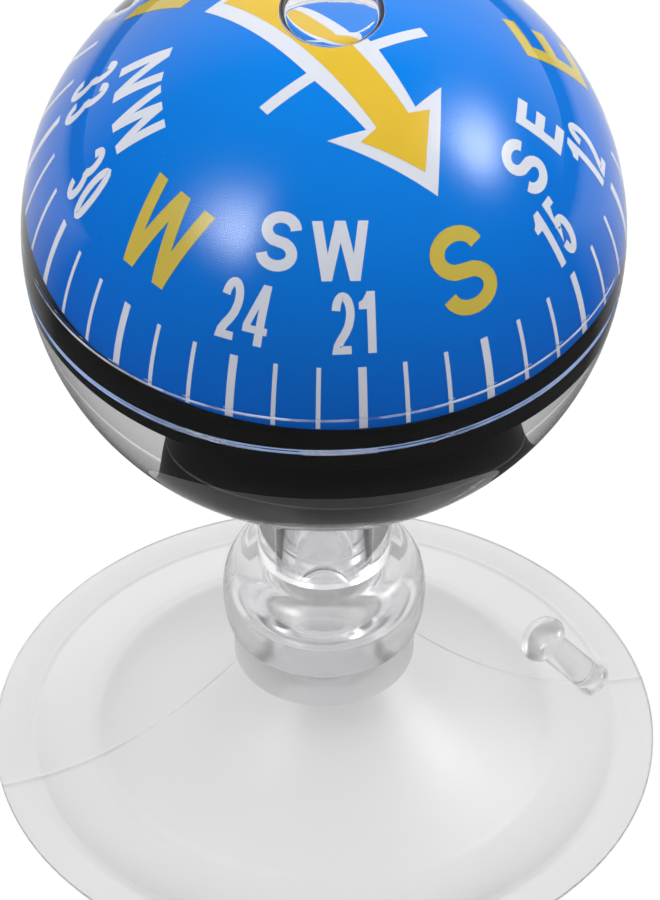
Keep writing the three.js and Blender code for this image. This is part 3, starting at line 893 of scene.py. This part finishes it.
class COMPASS_OT_ball(Operator):
    """Builds the two clear shells of the ball"""

    bl_idname = "compass.ball"
    bl_label = "Ball Shells"

    def execute(self, context):
        ball = settings().ball
        # Cast acrylic, polished: sharp mirror lines and a faint waviness from the mould.
        # The faces that the oil wets bend light only by the step from acrylic to oil.
        tint = settings().finish.acrylic
        waves = (9.0, 0.004)
        dry = clear("polished_acrylic", tint, ACRYLIC, 0.0, waves)
        wet = clear("polished_acrylic_wetted", "#FFFFFF", ACRYLIC / OIL, 0.0, waves)
        inner = BALL_RADIUS - ball.wall
        seam_out = math.sqrt(BALL_RADIUS**2 - ball.seam_drop**2)
        seam_in = math.sqrt(inner**2 - ball.seam_drop**2)
        lap = (seam_out + seam_in) / 2
        # The cement in the lap bends light as the acrylic does, so its faces don't show.
        bonded = cemented("bonded_acrylic")
        self.upper(ball, inner, seam_out, lap, (dry, wet, bonded))
        self.lower(ball, inner, seam_out, lap, (dry, wet, bonded))
        self.cement(ball, lap)
        return {"FINISHED"}

    def upper(self, ball, inner, seam_out, lap, finishes):
        """The upper shell, with the skirt that laps over the lip and the groove above it."""
        skirt = lap + ball.lap_clearance
        skirt_top = ball.lap_height - ball.seam_drop + ball.lap_clearance
        groove = ball.cement_width
        seam = -ball.seam_drop + SEAM_GAP
        outside = sphere_arc(BALL_RADIUS, BALL_RADIUS, seam + ball.seam_chamfer, 48)
        edge = [
            (seam_out - ball.seam_chamfer, seam),
            (skirt, seam),
            (skirt, skirt_top + groove),
            (lap - groove, skirt_top + groove),
            (lap - groove, skirt_top),
        ]
        inside = sphere_arc(inner, skirt_top, inner, 44)
        skins = [0] * len(outside) + [2] * len(edge) + [1] * (len(inside) - 1)
        outline = outside + edge + inside
        shell = lathe("ball_upper_shell", outline, ROUND, (0, 0, BALL_HEIGHT), skins)
        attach(dress(shell, *finishes), "ball")
        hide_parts("upper_dome")

    def lower(self, ball, inner, seam_out, lap, finishes):
        """The lower shell, with the lip of the lap, a flat floor and the hollow neck."""
        floor = -math.sqrt(inner**2 - ball.floor_radius**2)
        ceiling = floor - ball.floor_thickness
        bottom = -(BALL_RADIUS + ball.neck_length)
        bevel, fillet, steps = 0.2, 0.9, 6
        corner = (ball.neck_radius, -math.sqrt(BALL_RADIUS**2 - ball.neck_radius**2))
        start = (ball.neck_radius, corner[1] - fillet)
        leave = -math.sqrt(BALL_RADIUS**2 - (ball.neck_radius + fillet) ** 2)
        end = (ball.neck_radius + fillet, leave)
        curve = []
        for t in (i / steps for i in range(steps + 1)):
            shares = ((1 - t) ** 2, 2 * t * (1 - t), t**2)
            ends = zip(start, corner, end)
            curve.append(tuple(sum(s * v for s, v in zip(shares, row)) for row in ends))
        neck = [
            (0.0, ceiling),
            (ball.neck_bore, ceiling),
            (ball.neck_bore, bottom),
            (ball.neck_radius - bevel, bottom),
            (ball.neck_radius, bottom + bevel),
        ]
        outside = sphere_arc(BALL_RADIUS, leave, -ball.seam_drop - ball.seam_chamfer, 36)[1:]
        edge = [
            (seam_out - ball.seam_chamfer, -ball.seam_drop),
            (lap, -ball.seam_drop),
            (lap, ball.lap_height - ball.seam_drop),
        ]
        inside = sphere_arc(inner, ball.lap_height - ball.seam_drop, floor, 36) + [(0.0, floor)]
        dry_count = len(neck) + len(curve) + len(outside)
        skins = [0] * dry_count + [2] * len(edge) + [1] * (len(inside) - 1)
        outline = neck + curve + outside + edge + inside
        shell = lathe("ball_lower_shell", outline, ROUND, (0, 0, BALL_HEIGHT), skins)
        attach(dress(shell, *finishes), "ball")
        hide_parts("lower_bowl")

    def cement(self, ball, lap):
        """The bead of cement that fills the groove over the lip and shows as a fine white line."""
        foot = ball.lap_height - ball.seam_drop + 0.01
        top, outer = foot + ball.cement_width, lap + 0.03
        inner = outer - ball.cement_width
        outline = [(outer, foot), (outer, top), (inner, top), (inner, foot)]
        bead = lathe("cement_bead", outline, ROUND, (0, 0, BALL_HEIGHT), ring=True)
        # Solvent cement, set milky: white where it is thick, almost clear where it ran thin.
        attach(dress(bead, milky("set_cement", "#DADEEA", 6.0, 0.04, 0.7)), "ball")
        # What was pressed out at the seam fills its bevels up to the ball's surface, in two
        # fine rings. Their bluish white is partly a painted highlight where the bevels catch
        # light.
        pressed = milky("pressed_cement_painted_highlight", "#9FB6E2", 6.0, 0.3, 0.95)
        seam = math.sqrt(BALL_RADIUS**2 - ball.seam_drop**2)
        face, near, far = seam - 0.01, 0.1, 0.2
        for name, way, back in (("seam_bead_upper", 1, 0.0), ("seam_bead_lower", -1, 0.02)):
            outline = [(seam - 0.14, near), (face - back / 2, near)]
            outline += [(face - back, far), (seam - 0.04, far)]
            outline = [(r, way * h - ball.seam_drop) for r, h in outline]
            ring = lathe(name, outline, ROUND, (0, 0, BALL_HEIGHT), ring=True)
            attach(dress(ring, pressed), "ball")


class COMPASS_OT_bubble(Operator):
    """Builds the air bubble under the top of the ball"""

    bl_idname = "compass.bubble"
    bl_label = "Air Bubble"

    def execute(self, context):
        ball = settings().ball
        # Air in oil: it bends light the other way, so its round edge mirrors and shows dark.
        air = clear("air_in_oil", "#FFFFFF", OIL, 0.0, (6.0, 0.001))
        gap, round_width, round_height = 0.04, 0.55, 0.62
        ceiling = BALL_RADIUS - ball.wall - gap
        edge = ball.bubble_radius
        shoulder = edge - round_width
        shoulder_height = math.sqrt(ceiling**2 - shoulder**2)
        middle = shoulder_height - round_height
        top = sphere_arc(ceiling, ceiling, shoulder_height, 10)
        side = arc((round_width, shoulder_height - middle), 90, 0, 8, (shoulder, middle))[1:]
        depth = middle - (ceiling - ball.bubble_depth)
        under = arc((edge, depth), 0, -90, 16, (0.0, middle))[1:]
        place = (ball.bubble_drift, 0, BALL_HEIGHT)
        bubble = turned_over(lathe("air_bubble", top + side + under, 96, place))
        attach(dress(bubble, air), "ball")
        return {"FINISHED"}


class COMPASS_OT_dial(Operator):
    """Builds the domed dial of the float"""

    bl_idname = "compass.dial"
    bl_label = "Dial"

    def execute(self, context):
        inside = DIAL_RADIUS - settings().dial.wall
        outline = arc(DIAL_RADIUS, 90, 0, 40) + arc(inside, 0, 90, 32)
        dial = lathe("printed_dial", outline, ROUND, DIAL_CENTRE)
        # Blue lacquer, sprayed on a moulded dome: even and smooth, with the slightest cloudiness.
        # Painted shade: darker towards the edge, where less light falls than on the top.
        finish = settings().finish
        edge = (finish.paint_low, DIAL_LOW.z + 2, DIAL_HIGH.z)
        look = (0.3, (7.0, 0.03), (0.5, 0.002))
        paint = opaque("blue_lacquer_painted_shade", finish.paint, *look, foot=edge, IOR=WETTED)
        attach(dress(dial, paint), "float")
        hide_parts("dial_dome")
        return {"FINISHED"}


class COMPASS_OT_print(Operator):
    """Prints the ticks, numbers, letters and the arrow on the dial"""

    bl_idname = "compass.print"
    bl_label = "Print"

    def execute(self, context):
        dial, finish = settings().dial, settings().finish
        quarters = self.letters(dial, QUARTERS, dial.quarter_height, dial.quarter_stroke)
        between = self.letters(dial, BETWEEN, dial.between_height, dial.between_stroke)
        pole = dial_map(dial, 0, math.radians(90))
        white = self.ticks(dial) + self.numbers(dial) + between
        white.append((self.arrow_outline(), pole))
        amber = [(self.arrow_body(), pole)]
        raised = dial.ink + 0.02
        for name, layers, ink, code, amount, height in (
            ("white_print", white, "white_pad_ink", finish.white_ink, 0.03, dial.ink),
            ("yellow_print", quarters, "yellow_pad_ink", finish.letter_ink, 0.05, dial.ink),
            ("arrow_print", amber, "amber_pad_ink", finish.arrow_ink, 0.04, raised),
        ):
            # Pad-printing ink: flat, opaque, a touch uneven at the edge of each stroke.
            material = opaque(ink, code, 0.5, (1.5, amount), (0.2, 0.004), IOR=WETTED)
            piece = ink_object(name, layers, height)
            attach(dress(piece, material), "float")
        return {"FINISHED"}

    def ticks(self, dial):
        """A tick at every ten degrees, the thick ones at every thirty."""
        layers = []
        height = (dial.tick_top - dial.tick_foot) * DIAL_RADIUS / 2
        middle = (dial.tick_top + dial.tick_foot) / 2
        for heading in range(0, 360, 10):
            half = (dial.thick_tick if heading % 30 == 0 else dial.thin_tick) / 2
            face = [(-half, -height), (half, -height), (half, height), (-half, height)]
            layers.append(([face], dial_map(dial, heading, middle)))
        return layers

    def numbers(self, dial):
        """The headings in tens of degrees."""
        layers = []
        for tens, heading in NUMBERS.items():
            space = WIDE_SPACE.get(tens, DIGIT_SPACE)
            faces = word_faces(str(tens), dial.number_height, dial.number_stroke, space)
            layers.append((faces, dial_map(dial, heading, dial.number_latitude)))
        return layers

    def letters(self, dial, places, height, stroke):
        """Single letters, each at its own heading and latitude."""
        layers = []
        for letter, heading, latitude in places:
            faces = word_faces(letter, height, stroke, 0)
            layers.append((faces, dial_map(dial, heading, math.radians(latitude))))
        return layers

    def arrow_outline(self):
        """The white arrow and its cross bar, flat, with its tip up."""
        half, tail, bar_foot, bar_top, reach = 2.2, -10.0, -0.28, 0.48, 5.62
        neck, barb, tip = (1.74, 4.95), (4.05, 4.25), 10.4
        shaft = [
            [(-half, tail), (half, tail), (half, bar_foot), (-half, bar_foot)],
            [(-half, bar_foot), (half, bar_foot), (half, bar_top), (-half, bar_top)],
            [(-half, bar_top), (half, bar_top), neck, (-neck[0], neck[1])],
            [(-reach, bar_foot), (-half, bar_foot), (-half, bar_top), (-reach, bar_top)],
            [(half, bar_foot), (reach, bar_foot), (reach, bar_top), (half, bar_top)],
        ]
        return self.shifted(shaft + self.arrow_head(neck, barb, (0, tip)))

    def arrow_body(self):
        """The yellow arrow inside the white one."""
        half, tail = 1.18, -9.5
        neck, barb, tip = (1.12, 5.15), (2.46, 5.42), 8.8
        shaft = [[(-half, tail), (half, tail), neck, (-neck[0], neck[1])]]
        return self.shifted(shaft + self.arrow_head(neck, barb, (0, tip)))

    def arrow_head(self, neck, barb, tip):
        """The middle and the two barbs of an arrow's head."""
        left_neck, left_barb = (-neck[0], neck[1]), (-barb[0], barb[1])
        return [[left_neck, neck, tip], [neck, barb, tip], [left_barb, left_neck, tip]]

    def shifted(self, faces):
        """The arrow's faces, a little beside the dial's pole as it was printed."""
        aside = 0.27
        return [[(x - aside, y) for x, y in face] for face in faces]


class COMPASS_OT_float(Operator):
    """Builds the black rim, drum and cover of the float"""

    bl_idname = "compass.float"
    bl_label = "Float"

    def execute(self, context):
        size = settings().float
        # ABS, injection moulded in black: a fine mould texture, and no gloss under the oil.
        look = (0.35, (5.0, 0.12), (0.25, 0.004))
        black = opaque("moulded_abs", settings().finish.black, *look, IOR=WETTED)
        # The bead that the weld pressed out: greyer plastic, and partly a painted highlight on the
        # joint.
        bead = opaque("welded_abs_painted_highlight", "#5C5B5D", 0.5, (2.5, 0.3), (0.2, 0.004), IOR=WETTED)
        self.revolve("float_rim", "float_plate", self.rim(size), False, black)
        self.revolve("float_body", "float_drum", self.drum(size), True, black)
        self.revolve("float_cover", "drum_cover", self.cover(size), True, black)
        radius, _, foot = self.place("float_drum")
        edge = radius - size.drum_taper
        outer, inner, low = edge + 0.02, edge - 0.3, foot - 0.06
        outline = [(outer, low), (outer, foot), (inner, foot), (inner, low)]
        self.revolve("weld_bead", None, outline, True, bead)
        return {"FINISHED"}

    def place(self, node):
        """Radius, top and foot of a round node of the float, seen from the pin's point."""
        low, high = box_mm(node)
        return (high.x - low.x) / 2, high.z - BALL_HEIGHT, low.z - BALL_HEIGHT

    def revolve(self, name, node, outline, ring, material):
        """A turned piece of the float, in the place of a node of the frame if there is one."""
        centre = (DIAL_CENTRE.x, DIAL_CENTRE.y, BALL_HEIGHT)
        piece = lathe(name, outline, ROUND, centre, ring=ring)
        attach(dress(piece, material), "float")
        if node:
            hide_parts(node)

    def free(self, depth):
        """Half width that leaves the post free when the float tilts, at a depth below the
        pin's point."""
        at_point, per_mm = 1.4, 0.2
        return at_point + per_mm * depth

    def rim(self, size):
        """The plate with its band round the dial's edge and its tower round the bearing."""
        radius, _, foot = self.place("float_plate")
        seat = DIAL_LOW.z - BALL_HEIGHT
        top = seat - size.plate_drop
        under = top - size.plate_thickness
        lip = DIAL_RADIUS - settings().dial.wall - size.fit_gap
        lip_in = lip - size.lip_thickness
        lip_top = seat + size.lip_height
        ledge = DIAL_RADIUS + size.ledge
        tower, bore = size.tower_radius, size.holder_bore
        dial_foot = DIAL_RADIUS + 0.02
        foot_round, tower_round, lip_bevel, band = 0.2, 0.4, 0.1, 1.2
        band_height = seat + size.edge_height - foot - foot_round
        return (
            [(0.0, size.tower_top), (tower - tower_round, size.tower_top)]
            + arc(tower_round, 90, 0, 5, (tower - tower_round, size.tower_top - tower_round))[1:]
            + [(self.free(-top) + size.sleeve_wall, top), (lip_in, top), (lip_in, lip_top)]
            + [(lip - lip_bevel, lip_top), (lip, seat), (dial_foot, seat)]
            + [(dial_foot, seat + size.edge_height)]
            + arc((size.band_bulge, band_height), 88, 0, 20, (ledge, foot + foot_round))
            + arc(foot_round, 0, -90, 4, (radius - foot_round, foot + foot_round))[1:]
            + [(ledge - band, foot), (ledge - band, under), (self.free(-under), under)]
            + [(bore, -size.holder_depth), (bore, size.holder_top), (0.0, size.holder_top)]
        )

    def drum(self, size):
        """The drum, open below, with its sleeve round the post."""
        radius, top, foot = self.place("float_drum")
        edge = radius - size.drum_taper
        roof = top - size.drum_roof
        shoulder, corner = 0.15, 0.08
        return (
            [(radius - shoulder, top)]
            + arc(shoulder, 90, 0, 4, (radius - shoulder, top - shoulder))[1:]
            + arc(corner, 0, -90, 4, (edge - corner, foot + corner))
            + [(edge - size.drum_wall, foot), (radius - size.drum_wall, roof)]
            + [(self.free(-roof) + size.sleeve_wall, roof)]
            + [(self.free(-foot) + size.sleeve_wall, foot)]
            + [(self.free(-foot), foot), (self.free(-top), top)]
        )

    def cover(self, size):
        """The cover that shuts the drum, with its wide rounded edge."""
        radius, top, foot = self.place("drum_cover")
        straight, shoulder = top - size.cover_side, 0.08
        middle = (radius - size.cover_round, straight)
        return (
            [(radius - shoulder, top)]
            + arc(shoulder, 90, 0, 4, (radius - shoulder, top - shoulder))[1:]
            + arc((size.cover_round, straight - foot), 0, -90, 20, middle)
            + [(self.free(-foot), foot), (self.free(-top), top)]
        )


class COMPASS_OT_peg(Operator):
    """Builds the clear peg between the cup and the ball"""

    bl_idname = "compass.peg"
    bl_label = "Mounting Peg"

    def execute(self, context):
        low, high = box_mm("mounting_peg")
        bottom, top = low.z, high.z
        tip, bead, spindle, core = 2.9, 4.0, 3.25, 2.1
        edge, shoulder, core_round = 0.3, 0.7, 0.2
        bead_foot, bead_top = bottom + 3.0, bottom + 6.6
        core_foot = bead_top + 1.2
        outline = (
            [(0.0, bottom), (tip - edge, bottom)]
            + arc(edge, -90, 0, 4, (tip - edge, bottom + edge))[1:]
            + [(tip, bead_foot)]
            + arc((bead - tip, shoulder), -90, 0, 6, (tip, bead_foot + shoulder))[1:]
            + arc((bead - spindle, shoulder), 0, 90, 6, (spindle, bead_top - shoulder))
            + [(spindle, top - edge)]
            + arc(edge, 0, 90, 4, (spindle - edge, top - edge))[1:]
            + [(core, top), (core, core_foot)]
            + arc((core, core_round), 0, -90, 4, (0.0, core_foot))[1:]
        )
        peg = lathe("clear_peg", outline, 96)
        # Polystyrene, injection moulded clear: bright edges and faint flow lines.
        tint = settings().finish.acrylic
        material = clear("moulded_polystyrene", tint, POLYSTYRENE, 0.02, (3.0, 0.01))
        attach(dress(peg, material), "stem")
        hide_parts("mounting_peg")
        return {"FINISHED"}


class COMPASS_OT_cup(Operator):
    """Builds the clear suction cup and its pull knob"""

    bl_idname = "compass.cup"
    bl_label = "Suction Cup"

    def execute(self, context):
        cup, finish = settings().cup, settings().finish
        # Plasticised PVC, injection moulded clear: soft, faintly grey, with flow waves.
        waves, through = (6.0, 0.05), "#F2F2F2"
        vinyl = clear("clear_soft_vinyl", finish.vinyl, VINYL, 0.38, waves, through, 0.1)
        # The hub came off a polished core: clearer, with softer mirror lines than the ball's.
        polish = (VINYL, 0.12, waves, through, 0.14)
        hub = clear("clear_soft_vinyl_hub", finish.hub_vinyl, *polish)
        skirt = self.under(cup) + self.bell(cup)
        top = self.collar(cup) + self.socket()
        skins = [0] * len(skirt) + [1] * len(top)
        extra = {"skins": skins, "angles": self.turns(cup), "shape": self.mould_line(cup)}
        body = lathe("suction_cup_moulding", skirt + top, 0, **extra)
        dress(body, vinyl, hub)
        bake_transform(body)
        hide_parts("suction_cup")
        knob = self.knob(cup)
        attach(dress(knob, hub), "cup")
        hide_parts("suction_cup")
        return {"FINISHED"}

    def turns(self, cup):
        """Angles of the columns, closer together at the mould line."""
        turns = [2 * math.pi * i / ROUND for i in range(ROUND)]
        cleared, close = math.radians(1.6), (-1.2, -0.45, 0.0, 0.45, 1.2)
        for middle in (cup.knob_angle, cup.knob_angle + math.pi):
            turns = [turn for turn in turns if abs(turn - middle) > cleared]
            turns += [middle + math.radians(degrees) for degrees in close]
        return sorted(turns)

    def mould_line(self, cup):
        """Raises the fine line that the two halves of the mould leave on the outside."""
        skirt_start, rim, skin = cup.hub_radius + 0.05, 0.3, 0.2
        same_turn, line_height = 0.001, 0.09

        def shape(x, y, z):
            """A point of the cup, raised if it lies on the line."""
            radius = math.hypot(x, y)
            turn = math.atan2(y, x) - cup.knob_angle
            on_line = abs(math.remainder(turn, math.pi)) < same_turn
            outside = radius > skirt_start and z > rim
            if on_line and outside and abs(z - self.hollow_at(cup, radius)) > skin:
                z += line_height
            return (x, y, z)

        return shape

    def hollow_at(self, cup, radius):
        """Height of the hollow underneath at a radius."""
        land = CUP_RADIUS - cup.land_width
        return cup.hollow_height * (1 - (radius / land) ** 2) if radius < land else 0.0

    def skirt_at(self, cup, radius):
        """Height of the skirt's outside at a radius."""
        inward = (CUP_RADIUS - radius) / (CUP_RADIUS - cup.hub_radius)
        sweep = 2.1
        return cup.rim_thickness + (cup.hub_foot - cup.rim_thickness) * inward**sweep

    def under(self, cup):
        """The underside: the hollow, then the flat land with the fine groove near its edge."""
        land, steps = CUP_RADIUS - cup.land_width, 24
        radii = [land * i / steps for i in range(steps)]
        points = [(radius, self.hollow_at(cup, radius)) for radius in radii]
        points += [(land, 0.0), (19.9, 0.0), (20.0, 0.05), (20.3, 0.05), (20.4, 0.0)]
        return points + [(CUP_RADIUS - 0.1, 0.0), (CUP_RADIUS, 0.1)]

    def bell(self, cup):
        """The outside of the skirt, with the two fine rings that the mould left on it."""
        run = CUP_RADIUS - cup.hub_radius
        steps, cleared = 40, 0.3
        points = [(CUP_RADIUS - run * i / steps, 0.0) for i in range(steps + 1)]
        ridge = ((0.22, 0.0), (0.06, 0.06), (-0.06, 0.06), (-0.22, 0.0))
        for ring in (20.3, 16.0):
            points = [point for point in points if abs(point[0] - ring) > cleared]
            points += [(ring + across, up) for across, up in ridge]
        points.sort(reverse=True)
        return [(radius, self.skirt_at(cup, radius) + up) for radius, up in points]

    def collar(self, cup):
        """The bulge round the top of the hub."""
        across, up = cup.collar_radius - cup.hub_radius, cup.collar_height - cup.notch_height
        lower = arc((across, up), -90, 0, 10, (cup.hub_radius, cup.collar_height))
        across, up = cup.collar_radius - cup.mouth_radius, HUB_HEIGHT - cup.collar_height
        upper = arc((across, up), 0, 90, 10, (cup.mouth_radius, cup.collar_height))
        return lower + upper[1:]

    def socket(self):
        """The hole in the hub, with the pocket for the peg's bead."""
        bore, pocket, tip, gap = 3.35, 4.1, 3.0, 0.1
        foot = box_mm("mounting_peg")[0].z
        points = [(bore, HUB_HEIGHT), (bore, foot + 6.7), (pocket, foot + 6.0)]
        points += [(pocket, foot + 3.6), (tip, foot + 2.9), (tip, foot - gap)]
        return points + [(0.0, foot - gap)]

    def knob(self, cup):
        """The pull knob, built upright, then leaned inwards and set on the skirt."""
        stalk, head, neck = 1.05, 1.7, 5.3
        fillet, throat, under = 0.35, 0.25, 1.3
        outline = (
            [(0.0, 0.0), (stalk + fillet, 0.0)]
            + arc((fillet, 0.5), -90, -180, 5, (stalk + fillet, 0.5))[1:]
            + [(stalk, neck - 0.2)]
            + arc(throat, 180, 90, 3, (stalk + throat, neck - 0.2))[1:]
            + arc((head - under, 0.5), -90, 0, 5, (under, neck + 0.55))
            + arc((head, 1.05), 0, 90, 8, (0.0, neck + 0.55))[1:]
        )
        knob = lathe("pull_knob", outline, 48)
        height = self.skirt_at(cup, cup.knob_distance)
        place = Matrix.Rotation(cup.knob_angle, 4, "Z")
        place @= Matrix.Translation(Vector((cup.knob_distance, 0, height + 0.35)) * MM)
        place @= Matrix.Rotation(-cup.knob_lean, 4, "Y")
        knob.data.transform(place)
        return knob


class COMPASS_OT_fittings(Operator):
    """Finishes the pieces inside the ball"""

    bl_idname = "compass.fittings"
    bl_label = "Inner Fittings"

    def execute(self, context):
        metal = {"Metallic": 1.0}
        finishes = {
            # Nitrile rubber, moulded: dull, with a dusty grain.
            "filler_plug": opaque("moulded_nitrile", "#262626", 0.75, (1.0, 0.15), (0.15, 0.01)),
            # Acetal, moulded white: waxy, with a soft sheen.
            "pivot_post": opaque("moulded_acetal", "#E2E2DD", 0.35, (2.0, 0.03), (0.2, 0.003)),
            # Hardened steel, ground to a point: bright, with fine grinding marks.
            "pivot_pin": opaque(
                "ground_steel", "#C4C7CA", 0.22, (0.6, 0.08), (0.05, 0.003), **metal
            ),
            # Synthetic ruby, polished: a deep red with a glassy gloss.
            "bearing_cap": opaque("polished_ruby", "#A81E3C", 0.08, (0.8, 0.05), (0.1, 0.001)),
            # Brass, turned: warm, with rings from the tool.
            "bearing_holder": opaque(
                "turned_brass", "#C9A24C", 0.3, (1.0, 0.08), (0.08, 0.004), **metal
            ),
            # Brass, cast: duller, with a coarser grain.
            "ballast_ring": opaque(
                "cast_brass", "#B8954A", 0.42, (1.5, 0.1), (0.15, 0.008), **metal
            ),
            # Magnet steel, cut from bar: grey, with a dull skin.
            "bar_magnet_east": opaque(
                "magnet_steel", "#7A7E84", 0.45, (1.2, 0.12), (0.12, 0.006), **metal
            ),
        }
        finishes["bar_magnet_west"] = finishes["bar_magnet_east"]
        for node, material in finishes.items():
            dress_node(node, material)
        return {"FINISHED"}


class COMPASS_PT_panel(Panel):
    """Lists the pieces of the compass"""

    bl_idname = "COMPASS_PT_panel"
    bl_label = "Ball Compass"
    bl_space_type = "VIEW_3D"
    bl_region_type = "UI"
    bl_category = "Compass"

    def draw(self, context):
        for group in ("ball", "dial", "float", "cup", "finish", "studio"):
            box = self.layout.box()
            values = getattr(context.scene.compass, group)
            for name in values.__annotations__:
                box.prop(values, name)
        for operator in OPERATORS:
            self.layout.operator(operator.bl_idname)


OPERATORS = (
    COMPASS_OT_stage,
    COMPASS_OT_ball,
    COMPASS_OT_bubble,
    COMPASS_OT_dial,
    COMPASS_OT_print,
    COMPASS_OT_float,
    COMPASS_OT_peg,
    COMPASS_OT_cup,
    COMPASS_OT_fittings,
)

GROUPS = (
    CompassBallSizes,
    CompassDialSizes,
    CompassFloatSizes,
    CompassCupSizes,
    CompassFinishes,
    CompassStudio,
    CompassSettings,
)


def register():
    """Adds the settings, the operators and the panel."""
    for each in (*GROUPS, *OPERATORS, COMPASS_PT_panel):
        bpy.utils.register_class(each)
    bpy.types.Scene.compass = PointerProperty(type=CompassSettings)


def unregister():
    """Takes them away again."""
    del bpy.types.Scene.compass
    for each in reversed((*GROUPS, *OPERATORS, COMPASS_PT_panel)):
        bpy.utils.unregister_class(each)


def main():
    """Builds the whole compass and keeps its sizes."""
    register()
    for name in ("stage", "ball", "bubble", "dial", "print", "float", "peg", "cup", "fittings"):
        getattr(bpy.ops.compass, name)()


if __name__ == "__main__":
    main()
